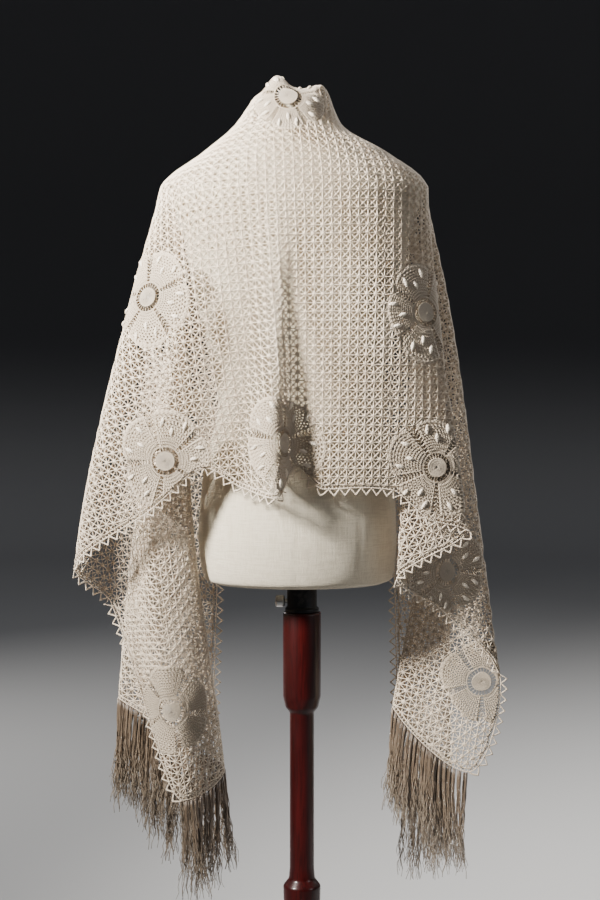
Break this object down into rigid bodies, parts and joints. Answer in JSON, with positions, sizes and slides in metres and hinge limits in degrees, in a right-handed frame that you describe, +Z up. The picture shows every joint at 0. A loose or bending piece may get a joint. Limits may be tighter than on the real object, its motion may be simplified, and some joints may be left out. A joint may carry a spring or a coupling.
{
  "type": "lace shawl on dress form",
  "caption": "Crocheted lace shawl with flower motifs, looped edging and fringe, draped over a limbless dress form on a turned wooden stand.",
  "frame": {"origin": "middle of the footprint of the whole, on the floor", "axes": "+Z up, +Y towards the chest of the form, so that the camera looks along +Y at its back"},
  "size_m": [0.643, 0.4468, 1.5357],
  "materials": {
    "lace": "matt ivory cotton thread, crocheted",
    "fringe": "silky tan thread",
    "linen": "plain cream linen, stretched",
    "mahogany": "dark red polished",
    "black_iron": "black, half gloss",
    "steel": "bright"
  },
  "bodies": {
    "stand": {"stand_post": "mahogany", "leg_1": "mahogany", "leg_2": "mahogany", "leg_3": "mahogany", "clamp_collar": "black_iron"},
    "pole": {"pole": "steel"},
    "clamp_screw": {"clamp_screw": "steel"},
    "form": {"form_torso": "linen", "neck_cap": "mahogany", "shawl_left_tail": "lace", "shawl_left_fall": "lace", "shawl_back": "lace", "shawl_right_fall": "lace", "shawl_right_tail": "lace", "edging_hem_left": "lace", "edging_hem_back": "lace", "edging_hem_right": "lace", "edging_front_left": "lace", "edging_front_right": "lace", "edging_collar": "lace", "fringe_left": "fringe", "fringe_right": "fringe"}
  },
  "joints": [
    {"name": "form_height", "type": "slide", "parent": "stand", "child": "pole", "axis": [0, 0, 1], "range_m": [0, 0.2]},
    {"name": "form_turn", "type": "hinge", "parent": "pole", "child": "form", "pos_m": [0.01321, -0.06697, 0.8], "axis": [0, 0, 1], "continuous": true},
    {"name": "clamp_screw_turn", "type": "hinge", "parent": "stand", "child": "clamp_screw", "pos_m": [0.01321, -0.06697, 0.757], "axis": [1, 0, 0], "continuous": true}
  ]
}
